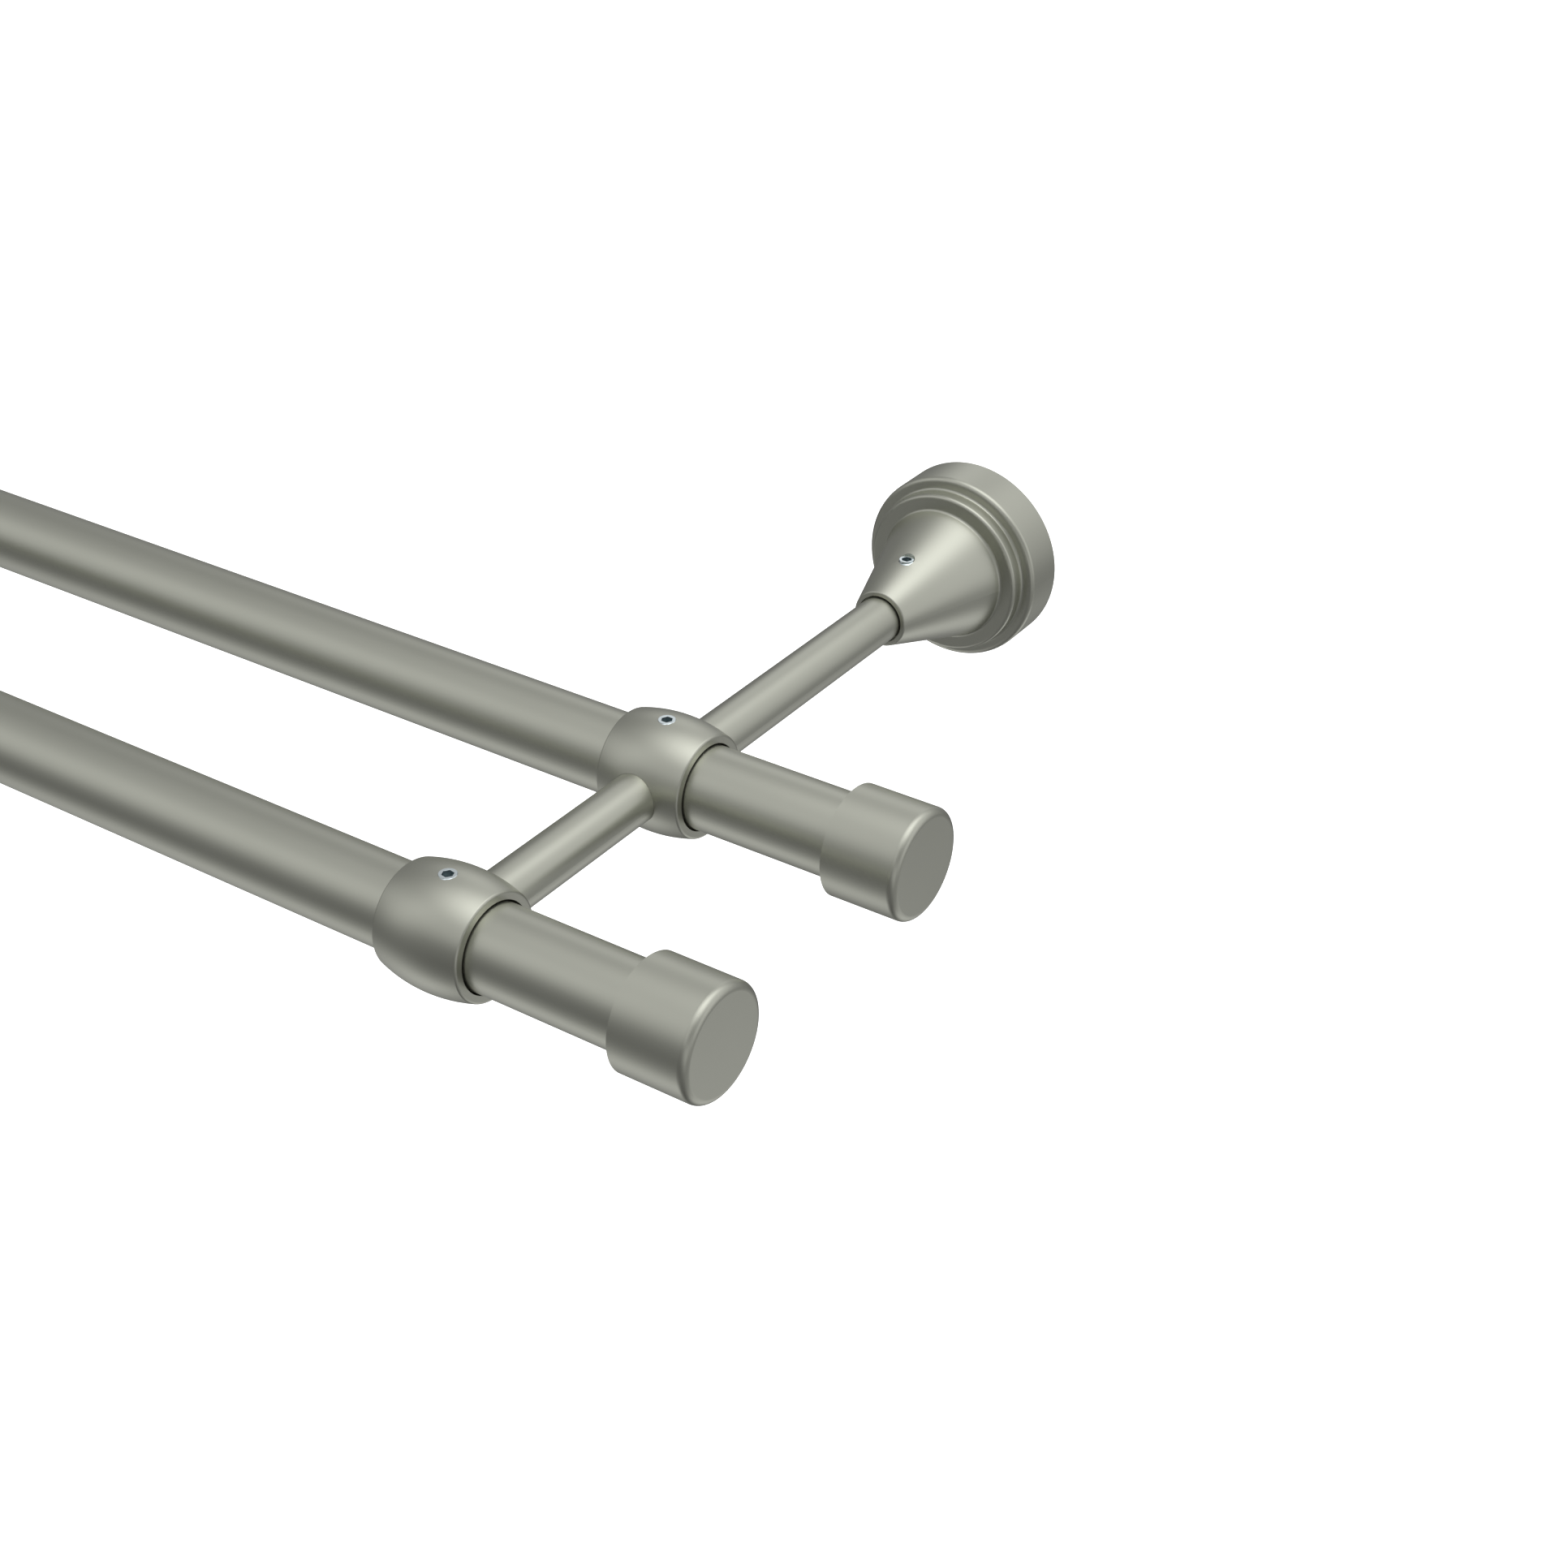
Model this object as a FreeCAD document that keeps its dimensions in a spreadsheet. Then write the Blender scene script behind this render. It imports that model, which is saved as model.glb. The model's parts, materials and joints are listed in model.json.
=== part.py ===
import FreeCAD, Part
import math
import os
import Sketcher

# Double curtain rod on two wall brackets, in millimetres.
# Origin: on the wall, at rod height, midway between the two brackets.
# +X runs along the rods, +Y into the wall, +Z up.

DIMENSIONS = [
    # the two tubes
    ("rod_diameter", 20.0),
    ("rod_wall", 1.0),
    ("rod_length", 1200.0),
    ("bracket_spacing", 1070.0),
    ("rear_rod_distance", 137.0),
    ("rod_spacing", 74.8),
    # barrel rings that hold the tubes
    ("ring_width", 22.6),
    ("ring_diameter", 28.1),
    ("ring_crown_radius", 38.1),
    ("ring_edge_fillet", 0.6),
    ("ring_bore", 20.1),
    ("ring_mouth_bore", 20.9),
    ("ring_mouth_depth", 5.0),
    ("ring_mouth_fillet", 0.05),
    ("ring_seat_distance", 12.4),
    ("ring_cut_overrun", 2.0),
    # round stems between the rings and the wall
    ("stem_diameter", 11.9),
    ("stem_chamfer", 0.3),
    ("stem_hole_depth", 11.0),
    ("stem_wall_hole_depth", 13.0),
    ("drill_point_angle", 118.0),
    ("seat_clearance", 0.03),
    # end caps and the sleeves inside them
    ("cap_diameter", 26.2),
    ("cap_length", 18.7),
    ("cap_beyond_rod", 3.6),
    ("cap_floor", 2.0),
    ("cap_wall", 1.5),
    ("cap_end_fillet", 1.85),
    ("cap_rim_chamfer", 0.3),
    ("liner_recess", 0.6),
    ("liner_stop_hole", 14.0),
    ("liner_slot_width", 2.0),
    ("liner_slot_count", 4),
    ("liner_slot_end", 3.0),
    # flared wall roses
    ("rose_diameter", 50.0),
    ("rose_base_depth", 12.0),
    ("rose_base_fillet", 1.3),
    ("rose_step_diameter", 43.4),
    ("rose_step_depth", 16.1),
    ("rose_step_fillet", 0.9),
    ("rose_root_fillet", 0.8),
    ("rose_length", 46.9),
    ("rose_tip_radius", 7.41),
    ("rose_cone_angle", 18.31),
    ("rose_tip_fillet", 0.5),
    ("rose_wall", 1.8),
    ("rose_boss_length", 18.0),
    ("rose_bore", 12.0),
    ("rose_mouth_bore", 12.7),
    ("rose_mouth_depth", 1.8),
    ("rose_screw_distance", 34.2),
    ("rose_screw_top", 11.8),
    # plates screwed to the wall inside the roses
    ("plate_diameter", 45.2),
    ("plate_thickness", 4.0),
    ("plate_recess_depth", 1.0),
    ("plate_hole_spacing", 28.0),
    ("plate_hole_diameter", 5.0),
    ("plate_hole_head", 9.2),
    # fasteners
    ("set_screw_diameter", 4.0),
    ("set_screw_top", 14.15),
    ("set_screw_chamfer", 0.25),
    ("set_screw_point", 0.5),
    ("socket_flats", 2.4),
    ("socket_depth", 2.0),
    ("thread_clearance", 0.03),
    ("stem_screw_diameter", 4.0),
    ("stem_screw_head", 7.6),
    ("stem_screw_length", 12.0),
    ("plate_screw_diameter", 5.0),
    ("plate_screw_head", 9.2),
    ("plate_screw_length", 14.0),
    ("plate_screw_sink", 0.2),
]

SIDES = {"left": -1, "right": 1}

# How far each hexagon socket stands turned in the photograph, in degrees
SOCKET_TURNS = {"front": 22, "rear": 30, "rose": 34}

# Distances that count as nothing, and as the same place
NO_DISTANCE = 1e-9
SAME_PLACE = 1e-3

doc = FreeCAD.newDocument("curtain_rod")
sheet = doc.addObject("Spreadsheet::Sheet", "dims")
for row, (alias, size) in enumerate(DIMENSIONS, start=1):
    sheet.set(f"A{row}", alias)
    sheet.set(f"B{row}", str(size))
    sheet.setAlias(f"B{row}", alias)
doc.recompute()


# Sketches, with every size bound to the sheet


def size_of(expression):
    """The number that an expression of the sheet gives now."""
    return float(sheet.evalExpression(expression))


def plane_of(body, role):
    """One of the body's own origin planes or axes."""
    return next(item for item in body.Origin.OriginFeatures if item.Role == role)


def new_sketch(body, name, role):
    sketch = body.newObject("Sketcher::SketchObject", name)
    sketch.AttachmentSupport = [(plane_of(body, role), "")]
    sketch.MapMode = "FlatFace"
    return sketch


def bind(sketch, constraint, expression):
    """Add a dimension to a sketch and drive it from the sheet."""
    index = sketch.addConstraint(constraint)
    sketch.setExpression(f"Constraints[{index}]", expression)


def place_corner(sketch, edge, end, across, along):
    """Tie one end of an edge to its distances from the sketch's two axes."""
    for kind, expression, axis in (("DistanceX", across, -2), ("DistanceY", along, -1)):
        distance = size_of(expression)
        if abs(distance) < NO_DISTANCE:
            sketch.addConstraint(Sketcher.Constraint("PointOnObject", edge, end, axis))
        else:
            bind(sketch, Sketcher.Constraint(kind, -1, 1, edge, end, distance), expression)


def crown_arc(left, right, radius):
    """Arc over two points at the same height, with its centre below them."""
    half = (right.x - left.x) / 2
    centre = FreeCAD.Vector(left.x + half, left.y - math.sqrt(radius ** 2 - half ** 2), 0)
    reach = math.asin(half / radius)
    circle = Part.Circle(centre, FreeCAD.Vector(0, 0, 1), radius)
    return Part.ArcOfCircle(circle, math.pi / 2 - reach, math.pi / 2 + reach)


def draw_outline(sketch, corners, crown=None):
    """Draw a closed outline through corners given as expressions.

    crown is the index and radius of a side that is an arc, drawn from left to right.
    """
    points = [FreeCAD.Vector(size_of(across), size_of(along), 0) for across, along in corners]
    ends = []
    for index, start in enumerate(points):
        end = points[(index + 1) % len(points)]
        if crown and index == crown[0]:
            edge = sketch.addGeometry(crown_arc(start, end, size_of(crown[1])))
            ends.append((edge, 2, 1))
            bind(sketch, Sketcher.Constraint("Radius", edge, size_of(crown[1])), crown[1])
        else:
            edge = sketch.addGeometry(Part.LineSegment(start, end))
            ends.append((edge, 1, 2))
    for index, (edge, first, last) in enumerate(ends):
        after, after_first, _ = ends[(index + 1) % len(ends)]
        sketch.addConstraint(Sketcher.Constraint("Coincident", edge, last, after, after_first))
        place_corner(sketch, edge, first, *corners[index])


def draw_circle(sketch, diameter, across="0", along="0"):
    centre = FreeCAD.Vector(size_of(across), size_of(along), 0)
    radius = size_of(diameter) / 2
    edge = sketch.addGeometry(Part.Circle(centre, FreeCAD.Vector(0, 0, 1), radius))
    place_corner(sketch, edge, 3, across, along)
    bind(sketch, Sketcher.Constraint("Diameter", edge, radius * 2), diameter)


def draw_hexagon(sketch, flats):
    """Regular hexagon round the sketch's origin, with two corners on its upright axis."""
    reach = size_of(flats) / math.sqrt(3)
    angles = [math.radians(60 * index + 90) for index in range(6)]
    points = [FreeCAD.Vector(reach * math.cos(turn), reach * math.sin(turn), 0) for turn in angles]
    guide = sketch.addGeometry(Part.Circle(FreeCAD.Vector(0, 0, 0), FreeCAD.Vector(0, 0, 1), reach), True)
    sketch.addConstraint(Sketcher.Constraint("Coincident", guide, 3, -1, 1))
    bind(sketch, Sketcher.Constraint("Diameter", guide, reach * 2), f"({flats}) / cos(30 deg)")
    sides = [sketch.addGeometry(Part.LineSegment(points[i], points[(i + 1) % 6])) for i in range(6)]
    for index, side in enumerate(sides):
        sketch.addConstraint(Sketcher.Constraint("Coincident", side, 2, sides[(index + 1) % 6], 1))
        sketch.addConstraint(Sketcher.Constraint("PointOnObject", side, 1, guide))
    for side in sides[1:]:
        sketch.addConstraint(Sketcher.Constraint("Equal", sides[0], side))
    sketch.addConstraint(Sketcher.Constraint("PointOnObject", sides[0], 1, -2))


# Solid features


def turn(body, name, corners, axis, crown=None, kind="PartDesign::Revolution"):
    """Turn an outline on the body's XY plane once round its X or Y axis."""
    sketch = new_sketch(body, name + "_outline", "XY_Plane")
    draw_outline(sketch, corners, crown)
    feature = body.newObject(kind, name)
    feature.Profile = sketch
    feature.ReferenceAxis = (plane_of(body, axis + "_Axis"), [""])
    feature.Angle = 360
    doc.recompute()
    return feature


def cut_pocket(body, name, draw, role, length, upward=True):
    """Cut a sketched shape out of the body, and make sure that the cut takes something away."""
    before = body.Shape.Volume
    sketch = new_sketch(body, name + "_outline", role)
    draw(sketch)
    feature = body.newObject("PartDesign::Pocket", name)
    feature.Profile = sketch
    feature.setExpression("Length", length)
    feature.Reversed = upward
    doc.recompute()
    if body.Shape.Volume >= before:
        raise RuntimeError(f"{body.Label}: {name} cuts nothing")
    return feature


def ring_edges(shape, axis, distance, radius):
    """Names of the full circles at a distance along an axis with a given radius."""
    names = []
    for index, edge in enumerate(shape.Edges, start=1):
        curve = edge.Curve
        if isinstance(curve, Part.Circle) and abs(curve.Radius - radius) < SAME_PLACE:
            if abs(getattr(curve.Center, axis) - distance) < SAME_PLACE:
                names.append(f"Edge{index}")
    return names


def dress(body, name, base, edges, size, kind="PartDesign::Fillet"):
    """Round or bevel the named edges of a feature."""
    if not edges:
        raise RuntimeError(f"{body.Label}: {name} found no edge")
    feature = body.newObject(kind, name)
    feature.Base = (base, edges)
    feature.setExpression("Radius" if kind.endswith("Fillet") else "Size", size)
    doc.recompute()
    return feature


def new_body(label):
    body = doc.addObject("PartDesign::Body", label)
    body.Label = label
    return body


def place(item, across="0", along="0", up="0", turned=None):
    """Put a body in the frame, its shift bound to the sheet."""
    if turned:
        item.Placement = FreeCAD.Placement(FreeCAD.Vector(), FreeCAD.Rotation(*turned))
    for axis, expression in (("x", across), ("y", along), ("z", up)):
        item.setExpression(f".Placement.Base.{axis}", expression)
    return item


# Places of the brackets and of the two tubes

REAR = "-dims.rear_rod_distance"
FRONT = "-dims.rear_rod_distance - dims.rod_spacing"
AXES = {"rear": REAR, "front": FRONT}


def bracket_x(side):
    return f"{SIDES[side]} * dims.bracket_spacing / 2"


def socket_turn(name, side):
    return (FreeCAD.Vector(0, 0, 1), SIDES[side] * SOCKET_TURNS[name])


# Tubes


def make_rod(label, along):
    """Round steel tube, open at both ends."""
    body = new_body(label)
    sketch = new_sketch(body, "section", "YZ_Plane")
    draw_circle(sketch, "dims.rod_diameter")
    draw_circle(sketch, "dims.rod_diameter - 2 * dims.rod_wall")
    pad = body.newObject("PartDesign::Pad", "tube")
    pad.Profile = sketch
    pad.SideType = "Symmetric"
    pad.setExpression("Length", "dims.rod_length")
    return place(body, along=along)


# End caps, modelled with the tube's end at x = 0 and the closed end towards +X


CAP_RADIUS = "dims.cap_diameter / 2"
CAP_BORE = "dims.cap_diameter / 2 - dims.cap_wall"
CAP_RIM = "dims.cap_beyond_rod - dims.cap_length"
CAP_FLOOR = "dims.cap_beyond_rod - dims.cap_floor"


def make_cap(label):
    """Turned cup that closes a tube's end, with a rounded outer edge."""
    body = new_body(label)
    section = [
        (CAP_RIM, CAP_BORE),
        (CAP_FLOOR, CAP_BORE),
        (CAP_FLOOR, "0"),
        ("dims.cap_beyond_rod", "0"),
        ("dims.cap_beyond_rod", CAP_RADIUS),
        (CAP_RIM, CAP_RADIUS),
    ]
    cup = turn(body, "cup", section, "X")
    end = ring_edges(cup.Shape, "x", size_of("dims.cap_beyond_rod"), size_of(CAP_RADIUS))
    rounded = dress(body, "end_round", cup, end, "dims.cap_end_fillet")
    rim = ring_edges(rounded.Shape, "x", size_of(CAP_RIM), size_of(CAP_BORE))
    dress(body, "rim_bevel", rounded, rim, "dims.cap_rim_chamfer", "PartDesign::Chamfer")
    return body


def make_liner(label):
    """Plastic sleeve that grips the tube inside the cap, slotted into spring fingers."""
    body = new_body(label)
    section = [
        (f"{CAP_RIM} + dims.liner_recess", "dims.rod_diameter / 2"),
        ("0", "dims.rod_diameter / 2"),
        ("0", "dims.liner_stop_hole / 2"),
        (CAP_FLOOR, "dims.liner_stop_hole / 2"),
        (CAP_FLOOR, CAP_BORE),
        (f"{CAP_RIM} + dims.liner_recess", CAP_BORE),
    ]
    turn(body, "sleeve", section, "X")

    def slot(sketch):
        half = "dims.liner_slot_width / 2"
        draw_outline(sketch, [
            (CAP_RIM, f"-{half}"),
            ("-dims.liner_slot_end", f"-{half}"),
            ("-dims.liner_slot_end", half),
            (CAP_RIM, half),
        ])

    cut = cut_pocket(body, "slot", slot, "XY_Plane", CAP_RADIUS)
    before = body.Shape.Volume
    pattern = body.newObject("PartDesign::PolarPattern", "slots")
    pattern.Originals = [cut]
    pattern.Axis = (plane_of(body, "X_Axis"), [""])
    pattern.Angle = 360
    pattern.setExpression("Occurrences", "dims.liner_slot_count")
    body.Tip = pattern
    doc.recompute()
    if body.Shape.Volume >= before:
        raise RuntimeError(f"{label}: the slots are not repeated")
    return body


def place_at_end(body, row, side):
    """Set a cap or its sleeve on a tube's end, turned round for the left one."""
    turned = (FreeCAD.Vector(0, 0, 1), 180) if side == "left" else None
    return place(body, f"{SIDES[side]} * dims.rod_length / 2", AXES[row], turned=turned)


# Rings, modelled round the tube's axis with the wall towards +Y


RING_HALF = "dims.ring_width / 2"
RING_BORE = "dims.ring_bore / 2"
RING_MOUTH = "dims.ring_mouth_bore / 2"
RING_EDGE = ("dims.ring_diameter / 2 - dims.ring_crown_radius"
             " + sqrt(dims.ring_crown_radius ^ 2 - (dims.ring_width / 2) ^ 2)")
MOUTH_END = "dims.ring_width / 2 - dims.ring_mouth_depth"
SEAT_RADIUS = "dims.stem_diameter / 2 + dims.seat_clearance"
STEM_SCREW_HOLE = "dims.stem_screw_diameter / 2 + dims.thread_clearance"
STEM_SCREW_HEAD = "dims.stem_screw_head / 2 + dims.thread_clearance"
STEM_SCREW_NECK = f"{RING_BORE} + (dims.stem_screw_head - dims.stem_screw_diameter) / 2"


def cut_stem_seat(body, name, sign):
    """Flat-bottomed seat for a stem's end, with the countersunk hole of the screw that pulls it in."""
    before = body.Shape.Volume
    turn(body, name, [
        ("0", f"{sign}({RING_BORE} - dims.ring_cut_overrun)"),
        (STEM_SCREW_HEAD, f"{sign}({RING_BORE} - dims.ring_cut_overrun)"),
        (STEM_SCREW_HEAD, f"{sign}({RING_BORE})"),
        (STEM_SCREW_HOLE, f"{sign}({STEM_SCREW_NECK})"),
        (STEM_SCREW_HOLE, f"{sign}dims.ring_seat_distance"),
        (SEAT_RADIUS, f"{sign}dims.ring_seat_distance"),
        (SEAT_RADIUS, f"{sign}dims.ring_diameter"),
        ("0", f"{sign}dims.ring_diameter"),
    ], "Y", kind="PartDesign::Groove")
    if body.Shape.Volume >= before:
        raise RuntimeError(f"{body.Label}: {name} cuts nothing")


def make_ring(label, seats):
    """Barrel ring round a tube, with one or two stem seats and a set screw hole on top."""
    body = new_body(label)
    section = [
        (f"-{RING_HALF}", RING_MOUTH),
        (f"-{RING_HALF}", RING_EDGE),
        (RING_HALF, RING_EDGE),
        (RING_HALF, RING_MOUTH),
        (MOUTH_END, RING_MOUTH),
        (MOUTH_END, RING_BORE),
        (f"-({MOUTH_END})", RING_BORE),
        (f"-({MOUTH_END})", RING_MOUTH),
    ]
    barrel = turn(body, "barrel", section, "X", crown=(1, "dims.ring_crown_radius"))
    edges = []
    for distance in (size_of(RING_HALF), -size_of(RING_HALF)):
        edges += ring_edges(barrel.Shape, "x", distance, size_of(RING_EDGE))
    rounded = dress(body, "edge_rounds", barrel, edges, "dims.ring_edge_fillet")
    mouths = []
    for distance in (size_of(RING_HALF), -size_of(RING_HALF)):
        mouths += ring_edges(rounded.Shape, "x", distance, size_of(RING_MOUTH))
    dress(body, "mouth_rounds", rounded, mouths, "dims.ring_mouth_fillet")
    for name, sign in seats.items():
        cut_stem_seat(body, name, sign)
    hole = "dims.set_screw_diameter + 2 * dims.thread_clearance"
    cut_pocket(body, "set_screw_hole", lambda sketch: draw_circle(sketch, hole), "XY_Plane",
                "dims.ring_diameter")
    return body


# Stems, modelled along +Y from their front end


STEM_RADIUS = "dims.stem_diameter / 2"
DRILL_POINT = f"({STEM_SCREW_HOLE}) / tan(dims.drill_point_angle / 2 * 1 deg)"
PLATE_SCREW_HOLE = "dims.plate_screw_diameter / 2 + dims.thread_clearance"
WALL_DRILL_POINT = f"({PLATE_SCREW_HOLE}) / tan(dims.drill_point_angle / 2 * 1 deg)"


def make_stem(label, length, back_hole, back_depth, back_point):
    """Round bar with a tapped hole in each end."""
    body = new_body(label)
    front_hole = STEM_SCREW_HOLE
    turn(body, "bar", [
        ("0", f"dims.stem_hole_depth + {DRILL_POINT}"),
        (front_hole, "dims.stem_hole_depth"),
        (front_hole, "0"),
        (f"{STEM_RADIUS} - dims.stem_chamfer", "0"),
        (STEM_RADIUS, "dims.stem_chamfer"),
        (STEM_RADIUS, f"{length} - dims.stem_chamfer"),
        (f"{STEM_RADIUS} - dims.stem_chamfer", length),
        (back_hole, length),
        (back_hole, f"{length} - {back_depth}"),
        ("0", f"{length} - {back_depth} - {back_point}"),
    ], "Y")
    return body


FRONT_STEM_LENGTH = "dims.rod_spacing - 2 * dims.ring_seat_distance"
REAR_STEM_LENGTH = ("dims.rear_rod_distance - dims.ring_seat_distance"
                    " - (dims.plate_thickness - dims.plate_recess_depth)")


# Wall roses, modelled along Y with the wall at y = 0 and the tip towards -Y


CONE_SLOPE = "tan(dims.rose_cone_angle * 1 deg)"
CONE_AT_STEP = ("dims.rose_tip_radius + (dims.rose_length - dims.rose_step_depth)"
                f" * {CONE_SLOPE}")
INNER_DROP = "dims.rose_wall / cos(dims.rose_cone_angle * 1 deg)"
STEP_INSIDE = "dims.rose_step_depth - dims.rose_wall"
CONE_INSIDE = f"{CONE_AT_STEP} + dims.rose_wall * {CONE_SLOPE} - {INNER_DROP}"
BOSS_END = "dims.rose_length - dims.rose_boss_length"
BOSS_INSIDE = f"dims.rose_tip_radius + dims.rose_boss_length * {CONE_SLOPE} - {INNER_DROP}"


def make_rose(label):
    """Hollow cast rose: a round base, a step, and a cone with a bored boss at its tip."""
    body = new_body(label)
    section = [
        ("dims.rose_diameter / 2", "0"),
        ("dims.rose_diameter / 2", "-dims.rose_base_depth"),
        ("dims.rose_step_diameter / 2", "-dims.rose_base_depth"),
        ("dims.rose_step_diameter / 2", "-dims.rose_step_depth"),
        (CONE_AT_STEP, "-dims.rose_step_depth"),
        ("dims.rose_tip_radius", "-dims.rose_length"),
        ("dims.rose_mouth_bore / 2", "-dims.rose_length"),
        ("dims.rose_mouth_bore / 2", "dims.rose_mouth_depth - dims.rose_length"),
        ("dims.rose_bore / 2", "dims.rose_mouth_depth - dims.rose_length"),
        ("dims.rose_bore / 2", f"-({BOSS_END})"),
        (BOSS_INSIDE, f"-({BOSS_END})"),
        (CONE_INSIDE, f"-({STEP_INSIDE})"),
        ("dims.rose_step_diameter / 2 - dims.rose_wall", f"-({STEP_INSIDE})"),
        ("dims.rose_step_diameter / 2 - dims.rose_wall", "dims.rose_wall - dims.rose_base_depth"),
        ("dims.rose_diameter / 2 - dims.rose_wall", "dims.rose_wall - dims.rose_base_depth"),
        ("dims.rose_diameter / 2 - dims.rose_wall", "0"),
    ]
    last = turn(body, "shell", section, "Y")
    rounds = [
        ("base_round", "dims.rose_base_depth", "dims.rose_diameter / 2", "dims.rose_base_fillet"),
        ("step_root", "dims.rose_base_depth", "dims.rose_step_diameter / 2", "dims.rose_root_fillet"),
        ("step_round", "dims.rose_step_depth", "dims.rose_step_diameter / 2", "dims.rose_step_fillet"),
        ("cone_root", "dims.rose_step_depth", CONE_AT_STEP, "dims.rose_root_fillet"),
        ("tip_round", "dims.rose_length", "dims.rose_tip_radius", "dims.rose_tip_fillet"),
    ]
    for name, depth, radius, fillet in rounds:
        edges = ring_edges(last.Shape, "y", -size_of(depth), size_of(radius))
        last = dress(body, name, last, edges, fillet)
    hole = "dims.set_screw_diameter + 2 * dims.thread_clearance"
    cut_pocket(body, "set_screw_hole",
                lambda sketch: draw_circle(sketch, hole, along="-dims.rose_screw_distance"),
                "XY_Plane", "dims.rose_diameter / 2")
    return body


# Wall plates, modelled like the roses


PLATE_SCREW_HEAD = "dims.plate_screw_head / 2 + dims.thread_clearance"
PLATE_SCREW_NECK = "dims.plate_screw_sink + (dims.plate_screw_head - dims.plate_screw_diameter) / 2"
PLATE_FLOOR = "dims.plate_thickness - dims.plate_recess_depth"


def make_plate(label):
    """Round plate on the wall, countersunk for two wall screws and, from behind, for the stem's screw."""
    body = new_body(label)
    turn(body, "disc", [
        (PLATE_SCREW_HEAD, "0"),
        ("dims.plate_diameter / 2", "0"),
        ("dims.plate_diameter / 2", "-dims.plate_thickness"),
        (SEAT_RADIUS, "-dims.plate_thickness"),
        (SEAT_RADIUS, f"-({PLATE_FLOOR})"),
        (PLATE_SCREW_HOLE, f"-({PLATE_FLOOR})"),
        (PLATE_SCREW_HOLE, f"-({PLATE_SCREW_NECK})"),
        (PLATE_SCREW_HEAD, "-dims.plate_screw_sink"),
    ], "Y")
    sketch = new_sketch(body, "wall_screw_centre", "XZ_Plane")
    sketch.setExpression(".AttachmentOffset.Base.z", "dims.plate_thickness")
    draw_circle(sketch, "dims.plate_hole_diameter", along="dims.plate_hole_spacing / 2")
    volumes = [body.Shape.Volume]
    hole = body.newObject("PartDesign::Hole", "wall_screw_hole")
    hole.Profile = sketch
    doc.recompute()
    hole.DepthType = "ThroughAll"
    hole.setExpression("Diameter", "dims.plate_hole_diameter")
    hole.HoleCutType = "Countersink"
    hole.HoleCutCustomValues = True
    hole.setExpression("HoleCutDiameter", "dims.plate_hole_head")
    hole.HoleCutCountersinkAngle = 90
    doc.recompute()
    volumes.append(body.Shape.Volume)
    mirrored = body.newObject("PartDesign::Mirrored", "second_wall_screw_hole")
    mirrored.Originals = [hole]
    mirrored.MirrorPlane = (plane_of(body, "XY_Plane"), [""])
    body.Tip = mirrored
    doc.recompute()
    volumes.append(body.Shape.Volume)
    if not volumes[0] > volumes[1] > volumes[2]:
        raise RuntimeError(f"{label}: a wall screw hole cuts nothing")
    return body


# Screws


def make_set_screw(label, length):
    """Grub screw along Z, its level top at z = 0, with a hexagon socket."""
    body = new_body(label)
    radius = "dims.set_screw_diameter / 2"
    sketch = new_sketch(body, "shank_outline", "XZ_Plane")
    draw_outline(sketch, [
        ("0", "0"),
        (f"{radius} - dims.set_screw_chamfer", "0"),
        (radius, "-dims.set_screw_chamfer"),
        (radius, f"dims.set_screw_point - ({length})"),
        (f"{radius} - dims.set_screw_point", f"-({length})"),
        ("0", f"-({length})"),
    ])
    shank = body.newObject("PartDesign::Revolution", "shank")
    shank.Profile = sketch
    shank.ReferenceAxis = (plane_of(body, "Z_Axis"), [""])
    shank.Angle = 360
    doc.recompute()
    cut_pocket(body, "socket", lambda socket: draw_hexagon(socket, "dims.socket_flats"), "XY_Plane",
                "dims.socket_depth", upward=False)
    return body


def make_countersunk_screw(label, prefix):
    """Countersunk screw along Z, its head's flat top at z = 0, with a hexagon socket."""
    body = new_body(label)
    radius = f"dims.{prefix}_diameter / 2"
    head = f"dims.{prefix}_head / 2"
    length = f"dims.{prefix}_length"
    sketch = new_sketch(body, "screw_outline", "XZ_Plane")
    draw_outline(sketch, [
        ("0", "0"),
        (head, "0"),
        (radius, f"{radius} - {head}"),
        (radius, f"dims.set_screw_point - {length}"),
        (f"{radius} - dims.set_screw_point", f"-{length}"),
        ("0", f"-{length}"),
    ])
    screw = body.newObject("PartDesign::Revolution", "screw")
    screw.Profile = sketch
    screw.ReferenceAxis = (plane_of(body, "Z_Axis"), [""])
    screw.Angle = 360
    doc.recompute()
    cut_pocket(body, "socket", lambda socket: draw_hexagon(socket, "dims.socket_flats"), "XY_Plane",
                "dims.socket_depth", upward=False)
    return body


def make_group(label, screws):
    """One node of separate, identical screws."""
    group = doc.addObject("Part::Compound", label)
    group.Label = label
    group.Links = screws
    return group


# The whole rod set

TO_WALL = (FreeCAD.Vector(1, 0, 0), 90)
FROM_WALL = (FreeCAD.Vector(1, 0, 0), -90)
HEAD_IN_BORE = "dims.ring_bore / 2"

subparts = []
ring_set_screws = []
rose_set_screws = []
stem_screws = []
plate_screws = []

for row, along in AXES.items():
    subparts.append(make_rod(f"{row}_rod", along))

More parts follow.
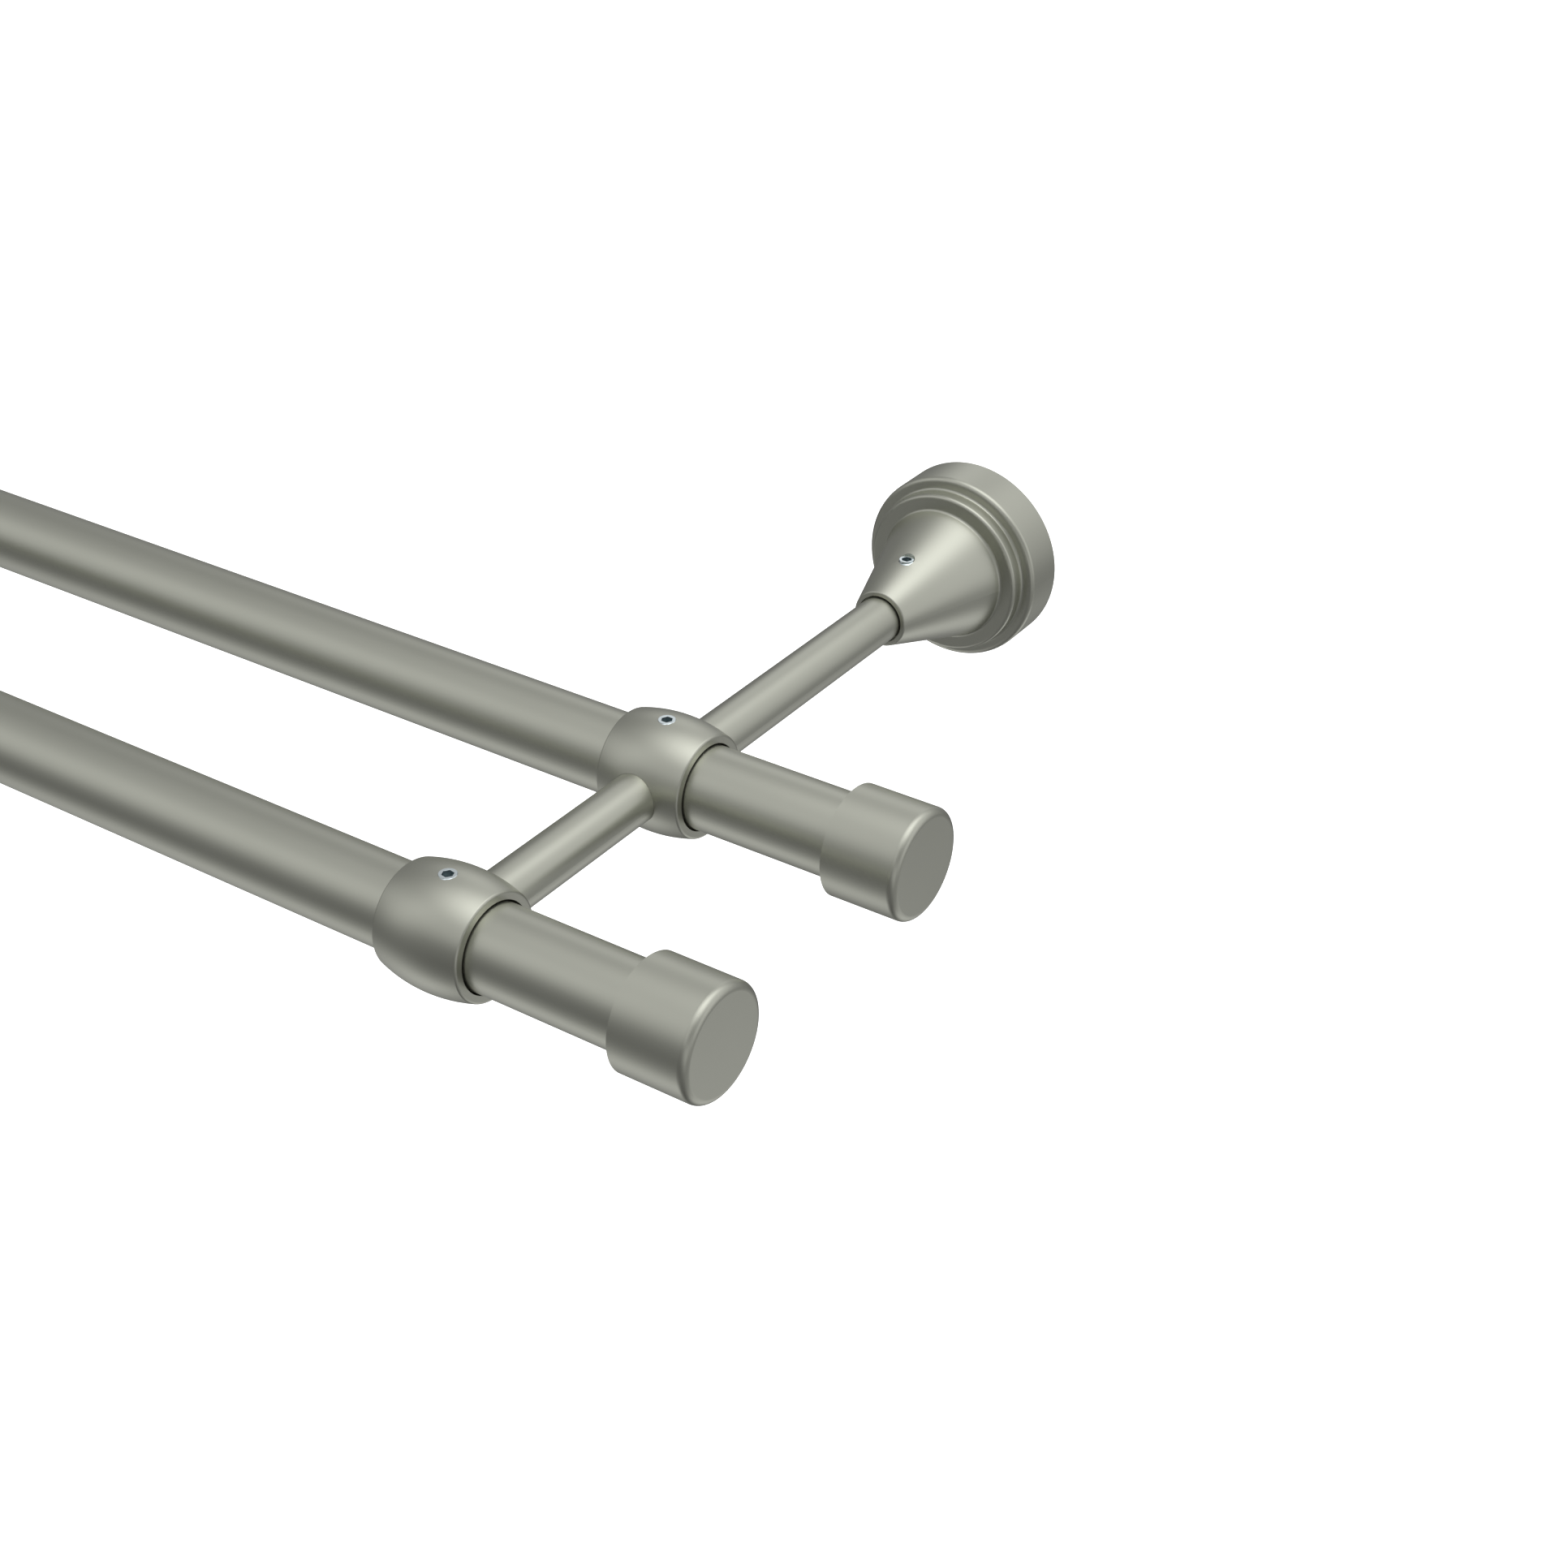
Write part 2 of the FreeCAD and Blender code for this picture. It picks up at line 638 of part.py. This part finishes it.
for side in SIDES:
    across = bracket_x(side)
    for row, along in AXES.items():
        subparts.append(place_at_end(make_cap(f"{row}_cap_{side}"), row, side))
        subparts.append(place_at_end(make_liner(f"{row}_cap_liner_{side}"), row, side))
        seats = {"wall_seat": ""}
        if row == "rear":
            seats["front_seat"] = "-"
        subparts.append(place(make_ring(f"{row}_ring_{side}", seats), across, along))
        screw = make_set_screw(f"{row}_ring_screw_{side}", "dims.set_screw_top - dims.rod_diameter / 2")
        ring_set_screws.append(place(screw, across, along, "dims.set_screw_top",
                                     turned=socket_turn(row, side)))
        screw = make_countersunk_screw(f"{row}_ring_stem_screw_{side}", "stem_screw")
        stem_screws.append(place(screw, across, f"{along} + {HEAD_IN_BORE}", turned=TO_WALL))
    screw = make_countersunk_screw(f"front_stem_rear_screw_{side}", "stem_screw")
    stem_screws.append(place(screw, across, f"{REAR} - {HEAD_IN_BORE}", turned=FROM_WALL))

    stem = make_stem(f"front_stem_{side}", FRONT_STEM_LENGTH, STEM_SCREW_HOLE, "dims.stem_hole_depth",
                     DRILL_POINT)
    subparts.append(place(stem, across, f"{FRONT} + dims.ring_seat_distance"))
    stem = make_stem(f"rear_stem_{side}", REAR_STEM_LENGTH, PLATE_SCREW_HOLE,
                     "dims.stem_wall_hole_depth", WALL_DRILL_POINT)
    subparts.append(place(stem, across, f"{REAR} + dims.ring_seat_distance"))

    subparts.append(place(make_rose(f"wall_rose_{side}"), across))
    screw = make_set_screw(f"rose_screw_{side}", "dims.rose_screw_top - dims.stem_diameter / 2")
    rose_set_screws.append(place(screw, across, "-dims.rose_screw_distance", "dims.rose_screw_top",
                                 turned=socket_turn("rose", side)))
    subparts.append(place(make_plate(f"wall_plate_{side}"), across))
    screw = make_countersunk_screw(f"plate_screw_{side}", "plate_screw")
    plate_screws.append(place(screw, across, "-dims.plate_screw_sink", turned=FROM_WALL))

subparts.append(make_group("ring_set_screws", ring_set_screws))
subparts.append(make_group("rose_set_screws", rose_set_screws))
subparts.append(make_group("stem_screws", stem_screws))
subparts.append(make_group("plate_screws", plate_screws))
doc.recompute()


# Checks, then one file for each sub-part

for item in doc.Objects:
    if "Invalid" in item.State or "Error" in item.State:
        raise RuntimeError(f"{item.Label} failed to build: {item.State}")
for item in subparts:
    if item.Shape.isNull() or not item.Shape.isValid():
        raise RuntimeError(f"{item.Label} has no valid shape")

os.makedirs("parts", exist_ok=True)
for item in subparts:
    item.Shape.exportStep(f"parts/{item.Label}.step")
    box = item.Shape.BoundBox
    print(f"{item.Label}: {len(item.Shape.Solids)} solid(s), {item.Shape.Volume:.1f} mm3,"
          f" x {box.XMin:.2f} to {box.XMax:.2f}, y {box.YMin:.2f} to {box.YMax:.2f},"
          f" z {box.ZMin:.2f} to {box.ZMax:.2f}")
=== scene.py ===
import bmesh
import bpy
import json
import math
from collections import namedtuple
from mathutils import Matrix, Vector


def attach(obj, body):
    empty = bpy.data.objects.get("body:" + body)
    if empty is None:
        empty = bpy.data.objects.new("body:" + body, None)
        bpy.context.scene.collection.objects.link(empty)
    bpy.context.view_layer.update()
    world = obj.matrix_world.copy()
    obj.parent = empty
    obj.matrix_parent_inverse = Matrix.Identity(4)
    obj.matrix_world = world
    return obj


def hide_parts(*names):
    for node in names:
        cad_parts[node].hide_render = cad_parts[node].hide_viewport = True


# Looks of the double curtain rod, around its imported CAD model, in metres.

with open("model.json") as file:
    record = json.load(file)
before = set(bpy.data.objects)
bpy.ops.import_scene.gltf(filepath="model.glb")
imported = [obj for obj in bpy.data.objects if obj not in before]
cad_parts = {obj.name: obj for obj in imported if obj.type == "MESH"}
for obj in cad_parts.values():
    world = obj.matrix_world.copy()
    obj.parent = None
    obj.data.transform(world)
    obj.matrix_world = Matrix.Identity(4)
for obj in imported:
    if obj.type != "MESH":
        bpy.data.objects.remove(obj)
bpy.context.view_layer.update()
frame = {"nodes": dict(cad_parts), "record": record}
nodes = frame["nodes"]

# Camera, at the photograph's viewing angle

IMAGE_SIDE = 1932
SENSOR = 36.0
FOCAL_PIXELS = 2891.27
CENTRE_ROW = 1092.79
AZIMUTH = math.radians(34.146)
ELEVATION = math.radians(34.377)
CAMERA_PLACE = Vector((0.81331, -0.50044, 0.28104))
CLIP_START = 0.01


def make_camera():
    data = bpy.data.cameras.new("camera")
    data.sensor_width = SENSOR
    data.lens = SENSOR * FOCAL_PIXELS / IMAGE_SIDE
    data.shift_y = (CENTRE_ROW - IMAGE_SIDE / 2) / IMAGE_SIDE
    data.clip_start = CLIP_START
    camera = bpy.data.objects.new("camera", data)
    back = Vector((
        math.sin(AZIMUTH) * math.cos(ELEVATION),
        -math.cos(AZIMUTH) * math.cos(ELEVATION),
        math.sin(ELEVATION),
    ))
    camera.location = CAMERA_PLACE
    camera.rotation_mode = "QUATERNION"
    camera.rotation_quaternion = (-back).to_track_quat("-Z", "Y")
    bpy.context.scene.collection.objects.link(camera)
    bpy.context.scene.camera = camera


# Shader helpers

# Noise over an object's own coordinates, which are in metres
Noise = namedtuple("Noise", "scale detail stretch", defaults=(3.0, (1, 1, 1)))


def new_material(name):
    material = bpy.data.materials.new(name)
    material.use_nodes = True
    return material, material.node_tree.nodes["Principled BSDF"]


def add_node(tree, kind, **inputs):
    node = tree.nodes.new(kind)
    for name, value in inputs.items():
        node.inputs[name.replace("_", " ")].default_value = value
    return node


def add_noise(tree, noise):
    place = tree.nodes.new("ShaderNodeTexCoord")
    mapping = add_node(tree, "ShaderNodeMapping", Scale=noise.stretch)
    texture = add_node(tree, "ShaderNodeTexNoise", Scale=noise.scale, Detail=noise.detail)
    tree.links.new(place.outputs["Object"], mapping.inputs["Vector"])
    tree.links.new(mapping.outputs["Vector"], texture.inputs["Vector"])
    return texture.outputs["Fac"]


def ramp(tree, source, low, high):
    """Map a 0 to 1 value to a range."""
    node = add_node(tree, "ShaderNodeMapRange", To_Min=low, To_Max=high)
    tree.links.new(source, node.inputs["Value"])
    return node.outputs["Result"]


def tint(tree, source, dark, light):
    """Blend two colours by a 0 to 1 value."""
    node = tree.nodes.new("ShaderNodeMix")
    node.data_type = "RGBA"
    node.inputs["A"].default_value = (*dark, 1)
    node.inputs["B"].default_value = (*light, 1)
    tree.links.new(source, node.inputs["Factor"])
    return node.outputs["Result"]


def bump(tree, source, distance):
    node = add_node(tree, "ShaderNodeBump", Strength=1.0, Distance=distance)
    tree.links.new(source, node.inputs["Height"])
    return node.outputs["Normal"]


# Materials


def finish(name, tones, roughness, grain, relief, cloud=None, metallic=1.0):
    """A material whose roughness and relief follow a grain, and its tones the same or a cloud."""
    material, shader = new_material(name)
    tree = material.node_tree
    grain = add_noise(tree, grain)
    mottle = add_noise(tree, cloud) if cloud else grain
    shader.inputs["Metallic"].default_value = metallic
    tree.links.new(tint(tree, mottle, *tones), shader.inputs["Base Color"])
    tree.links.new(ramp(tree, grain, *roughness), shader.inputs["Roughness"])
    tree.links.new(bump(tree, grain, relief), shader.inputs["Normal"])
    return material


# Satin nickel, a little cloudy
NICKEL = {
    "tones": ((0.58, 0.59, 0.515), (0.60, 0.61, 0.535)),
    "roughness": (0.33, 0.39),
    "relief": 0.000002,
    "cloud": Noise(scale=60, detail=2),
}

MATERIALS = {
    # The tubes' grain runs along them
    "satin_tube": finish(
        "satin_tube", grain=Noise(scale=5000, stretch=(0.02, 1, 1)), **NICKEL),
    "satin_metal": finish(
        "satin_metal", grain=Noise(scale=4000), **NICKEL),
    # Blue-white zinc plating of the small screws, and a darker copy of it down in their sockets as
    # painted shade in the recess
    "zinc_screws": finish(
        "blue_zinc", grain=Noise(scale=3000), relief=0.000003,
        tones=((0.79, 0.88, 0.91), (0.84, 0.92, 0.95)), roughness=(0.11, 0.16)),
    # Painted shade: the zinc darkened for the socket faces, standing in for shade down in the
    # recess
    "socket": finish(
        "socket_painted_shade", grain=Noise(scale=3000), relief=0.000003,
        tones=((0.42, 0.49, 0.51), (0.50, 0.57, 0.59)), roughness=(0.3, 0.4)),
    # Zinc-plated steel of the wall plates
    "plate_steel": finish(
        "plated_steel", grain=Noise(scale=250, detail=4), relief=0.00002,
        tones=((0.42, 0.44, 0.45), (0.58, 0.60, 0.61)), roughness=(0.32, 0.48)),
    # Black moulded nylon of the sleeves in the caps
    "liner_plastic": finish(
        "black_nylon", grain=Noise(scale=1800), relief=0.00002, metallic=0.0,
        tones=((0.010, 0.010, 0.011), (0.022, 0.022, 0.023)), roughness=(0.45, 0.6)),
}


def dress_nodes():
    """Give each CAD node the finish of its own slot."""
    for row in frame["record"]["subparts"]:
        mesh = nodes[row["node"]].data
        mesh.materials.clear()
        mesh.materials.append(MATERIALS[row["material_slot"]])


# Set screws, with a cut thread and a hexagon socket

# Left and right end, places of the brackets along the rods, and of the screws out from the wall
SIDES = (-1, 1)
BRACKET_X = 0.535
REAR_Y = -0.137
FRONT_Y = -0.2118
ROSE_SCREW_Y = -0.0342

# The thread runs out of the rim below the depth runout, and starts at an angle in degrees
ScrewKind = namedtuple("ScrewKind", "top_height length top_radius runout thread_start")
RING_SCREW = ScrewKind(
    top_height=0.01406, length=0.00406, top_radius=0.00197, runout=0.00003, thread_start=3)
ROSE_SCREW = ScrewKind(
    top_height=0.01166, length=0.00571, top_radius=0.00186, runout=0.00015, thread_start=-110)

# Turn of a socket in degrees: towards the wall, and from there outwards at either end
WALLWARD = 90
SCREW_TURNS = {"front": 22, "rear": 30, "rose": 34}

SCREW_STEPS = 96
SCREW_RADIUS = 0.0022
SCREW_LAND = 0.00005
SCREW_POINT = 0.0005
CUP_RADIUS = 0.0012
CUP_DEPTH = 0.0005
PITCH = 0.0008
FLANK = math.radians(60)
THREAD_DEPTH = PITCH * 5 / 16 * math.tan(FLANK)
# Sixteenths of a pitch down from the start of a lap, and the thread's height there, from 0 to 1
THREAD = ((0, 1), (2, 1), (4.5, 0.5), (7, 0), (11, 0), (13.5, 0.5))
# Laps past the screw's ends, which are flattened onto them
SPARE_LAPS = 3
SOCKET_FLATS = 0.0024
SOCKET_DEPTH = 0.002
SOCKET_BEVEL = 0.00005
DRILL_RADIUS = 0.0011
DRILL_DEPTH = 0.0004

ZINC_SLOT = 0
SOCKET_SLOT = 1
SHARP_ANGLE = math.radians(35)
MERGE_DIGITS = 8


def screw_column(turn, kind, start):
    """Radii and heights of a thread down one side of a screw, between its top and its point."""
    slope = math.tan(FLANK)
    rows = []
    for lap in range(math.ceil(kind.length / PITCH) + SPARE_LAPS):
        for sixteenth, crest in THREAD:
            height = PITCH * (turn + start - lap - sixteenth / 16)
            height = min(0, max(-kind.length, height))
            radius = SCREW_RADIUS - THREAD_DEPTH * (1 - crest)
            land = kind.top_radius - max(0, -height - SCREW_LAND) * slope
            rim = kind.top_radius + max(0, -height - kind.runout) * slope
            point = SCREW_RADIUS - max(0, SCREW_POINT - kind.length - height)
            rows.append((min(max(radius, land), rim, point), height))
    return rows


def socket_reach(turn):
    """Distance from the middle of the socket to its wall, a part of a turn from a corner."""
    past_corner = turn * 2 * math.pi % (math.pi / 3)
    return SOCKET_FLATS / 2 / math.cos(past_corner - math.pi / 6)


def add_screw(mesh, place, kind, turned):
    """Add a set screw of a kind, at a place seen from above, turned by an angle."""
    known = {}
    top_centre = Vector((*place, kind.top_height))
    start = (turned / 2 / math.pi - kind.thread_start / 360) % 1

    def corner(radius, step, height):
        angle = 2 * math.pi * step / SCREW_STEPS + turned
        point = (radius * math.cos(angle), radius * math.sin(angle), height)
        key = tuple(round(value, MERGE_DIGITS) for value in point)
        if key not in known:
            known[key] = mesh.verts.new(Vector(point) + top_centre)
        return known[key]

    def face(corners, slot=ZINC_SLOT):
        corners = list(dict.fromkeys(corners))
        if len(corners) > 2:
            made = mesh.faces.new(corners)
            made.smooth = True
            made.material_index = slot

    def band(low, high, step, after, slot=ZINC_SLOT):
        """A face between two rows, each of a radius at either step and a height."""
        face([corner(low[0], step, low[2]), corner(low[1], after, low[2]),
              corner(high[1], after, high[2]), corner(high[0], step, high[2])], slot)

    columns = [screw_column(step / SCREW_STEPS, kind, start) for step in range(SCREW_STEPS)]
    for step, column in enumerate(columns):
        after = (step + 1) % SCREW_STEPS
        next_column = columns[after]
        reach, reach_after = (socket_reach(item / SCREW_STEPS) for item in (step, after))
        socket = [
            (0, 0, -SOCKET_DEPTH - DRILL_DEPTH),
            (DRILL_RADIUS, DRILL_RADIUS, -SOCKET_DEPTH),
            (reach, reach_after, -SOCKET_DEPTH),
            (reach, reach_after, -SOCKET_BEVEL),
        ]
        top = [
            (reach + SOCKET_BEVEL, reach_after + SOCKET_BEVEL, 0),
            (column[0][0], next_column[0][0], 0),
        ]
        # The socket faces take the darkened zinc, which is painted shade
        for low, high in zip(socket, socket[1:]):
            band(low, high, step, after, SOCKET_SLOT)
        for low, high in zip([socket[-1], *top], top):
            band(low, high, step, after)
        # The thread is one lap lower where it comes round to the first column
        shift = len(THREAD) if after == 0 else 0
        for row in range(shift, len(column) - 1):
            near = [corner(radius, step, height) for radius, height in column[row:row + 2]]
            far = [corner(radius, after, height)
                   for radius, height in next_column[row - shift:row - shift + 2]]
            face([near[0], far[0], far[1], near[1]])
        end = column[-1][0]
        tip = [
            (end, end, -kind.length),
            (CUP_RADIUS, CUP_RADIUS, -kind.length),
            (0, 0, CUP_DEPTH - kind.length),
        ]
        for low, high in zip(tip, tip[1:]):
            band(low, high, step, after)


def make_screws(name, node, places):
    """One piece of alike set screws, in place of a CAD node of plain ones."""
    mesh = bmesh.new()
    for place, kind, turned in places:
        add_screw(mesh, place, kind, math.radians(turned))
    bmesh.ops.recalc_face_normals(mesh, faces=mesh.faces)
    data = bpy.data.meshes.new(name)
    mesh.to_mesh(data)
    mesh.free()
    data.set_sharp_from_angle(angle=SHARP_ANGLE)
    # In the order of ZINC_SLOT and SOCKET_SLOT
    data.materials.append(MATERIALS["zinc_screws"])
    # The second slot is the darkened zinc of the sockets, painted shade
    data.materials.append(MATERIALS["socket"])
    piece = bpy.data.objects.new(name, data)
    bpy.context.scene.collection.objects.link(piece)
    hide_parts(node)
    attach(piece, "root")


def make_set_screws():
    rings = []
    roses = []
    for side in SIDES:
        x = side * BRACKET_X
        for row, y in (("front", FRONT_Y), ("rear", REAR_Y)):
            rings.append(((x, y), RING_SCREW, WALLWARD + side * SCREW_TURNS[row]))
        roses.append(((x, ROSE_SCREW_Y), ROSE_SCREW, WALLWARD + side * SCREW_TURNS["rose"]))
    make_screws("threaded_ring_screws", "ring_set_screws", rings)
    make_screws("threaded_rose_screws", "rose_set_screws", roses)


# Stage: a plain white studio, and soft light from all round

FLOOR_HEIGHT = -0.9
CEILING_HEIGHT = 30.0
WALL_DISTANCE = 30.0
WHITE = (1, 1, 1, 1)
OFF_WHITE = (0.9, 0.9, 0.9, 1)


def make_studio():
    """A white room that only the camera sees, so the light passes through its walls."""
    ring = ((-1, -1), (1, -1), (1, 1), (-1, 1))
    count = len(ring)
    corners = [(x * WALL_DISTANCE, y * WALL_DISTANCE, height)
               for height in (FLOOR_HEIGHT, CEILING_HEIGHT) for x, y in ring]
    walls = [(side, (side + 1) % count, (side + 1) % count + count, side + count)
             for side in range(count)]
    mesh = bpy.data.meshes.new("studio")
    floor = tuple(range(count))
    ceiling = tuple(range(count, 2 * count))
    mesh.from_pydata(corners, [], [floor, ceiling, *walls])
    studio = bpy.data.objects.new("studio", mesh)
    bpy.context.scene.collection.objects.link(studio)
    material, shader = new_material("white_floor")
    shader.inputs["Base Color"].default_value = OFF_WHITE
    shader.inputs["Emission Color"].default_value = WHITE
    shader.inputs["Emission Strength"].default_value = 1.0
    mesh.materials.append(material)
    studio.visible_glossy = False
    studio.visible_diffuse = False
    studio.visible_shadow = False


# Brightness of the surroundings by height, from straight down to straight up, in degrees
GRADIENT = (
    (-90, 0.02), (-60, 0.14), (-40, 0.17), (-20, 0.12), (-5, 0.18), (8, 0.16),
    (22, 0.22), (38, 0.28), (55, 0.42), (72, 0.96), (90, 1.51),
)
# A ramp's colours stay below 1, so they hold the brightness divided by this
GRADIENT_TOP = 2.0

# Broad soft boxes: the direction that each lies in, its narrowness and its strength
SOFT_BOXES = (
    ((0.505, -0.042, 0.862), 30, 0.781),
    ((0.217, 0.533, 0.818), 30, 0.741),
    ((-0.427, 0.784, 0.45), 30, 0.611),
    ((0.834, 0.459, 0.306), 6, 0.582),
    ((0.287, 0.23, -0.93), 30, 0.578),
    ((-0.382, -0.333, -0.862), 30, 0.550),
    ((0.376, 0.555, -0.742), 30, 0.529),
    ((0.851, -0.496, -0.174), 30, 0.462),
    ((0.157, -0.82, 0.55), 30, 0.436),
    ((-0.745, -0.601, 0.29), 30, 0.433),
    ((-0.579, -0.498, 0.646), 30, 0.430),
    ((0.597, -0.798, 0.078), 30, 0.345),
    ((-0.897, -0.177, 0.406), 30, 0.313),
    ((-0.648, -0.313, -0.694), 30, 0.301),
    ((0.273, 0.23, 0.934), 30, 0.286),
    ((0.36, 0.81, 0.462), 30, 0.269),
    ((0.992, 0.121, -0.018), 30, 0.254),
    ((-0.695, 0.081, -0.714), 30, 0.236),
    ((-0.312, -0.788, 0.53), 30, 0.229),
    ((0.093, -0.413, 0.906), 30, 0.208),
    ((-0.357, 0.023, -0.934), 30, 0.204),
    ((-0.248, 0.968, 0.042), 30, 0.189),
    ((0.057, 0.51, -0.858), 30, 0.139),
    ((-0.176, 0.421, 0.89), 30, 0.138),
    ((-0.012, 0.824, 0.566), 30, 0.112),
    ((0.761, -0.057, -0.646), 30, 0.101),
    ((-0.632, -0.587, -0.506), 30, 0.100),
    ((-0.919, 0.392, 0.03), 30, 0.070),
)


def math_node(tree, operation, *inputs):
    """A math node whose inputs are numbers or other nodes' outputs."""
    node = tree.nodes.new("ShaderNodeMath")
    node.operation = operation
    for socket, value in zip(node.inputs, inputs):
        if isinstance(value, (int, float)):
            socket.default_value = value
        else:
            tree.links.new(value, socket)
    return node.outputs["Value"]


def make_world():
    """Plain soft studio light: a gradient from floor to ceiling and a few broad soft boxes."""
    world = bpy.data.worlds.new("studio")
    bpy.context.scene.world = world
    world.use_nodes = True
    tree = world.node_tree
    background = tree.nodes["Background"]
    background.inputs["Color"].default_value = WHITE
    look = tree.nodes.new("ShaderNodeTexCoord").outputs["Generated"]
    split = tree.nodes.new("ShaderNodeSeparateXYZ")
    tree.links.new(look, split.inputs["Vector"])
    # The height of a direction goes from -1 to 1, and the ramp from 0 to 1
    height = math_node(tree, "MULTIPLY_ADD", split.outputs["Z"], 0.5, 0.5)
    steps = tree.nodes.new("ShaderNodeValToRGB")
    stops = steps.color_ramp.elements
    while len(stops) < len(GRADIENT):
        stops.new(0.5)
    for stop, (angle, strength) in zip(stops, GRADIENT):
        stop.position = math.sin(math.radians(angle)) / 2 + 0.5
        stop.color = (*(strength / GRADIENT_TOP,) * 3, 1)
    tree.links.new(height, steps.inputs["Fac"])
    total = math_node(tree, "MULTIPLY", steps.outputs["Color"], GRADIENT_TOP)
    # A box's light is its strength times exp(narrowness * (cosine of the angle to it - 1))
    for direction, narrowness, strength in SOFT_BOXES:
        facing = tree.nodes.new("ShaderNodeVectorMath")
        facing.operation = "DOT_PRODUCT"
        facing.inputs[1].default_value = Vector(direction).normalized()
        tree.links.new(look, facing.inputs[0])
        fall = math_node(tree, "MULTIPLY_ADD", facing.outputs["Value"], narrowness, -narrowness)
        total = math_node(tree, "MULTIPLY_ADD", math_node(tree, "EXPONENT", fall), strength, total)
    tree.links.new(total, background.inputs["Strength"])
    bpy.context.scene.view_settings.view_transform = "Standard"


make_camera()
dress_nodes()
make_set_screws()
make_studio()
make_world()
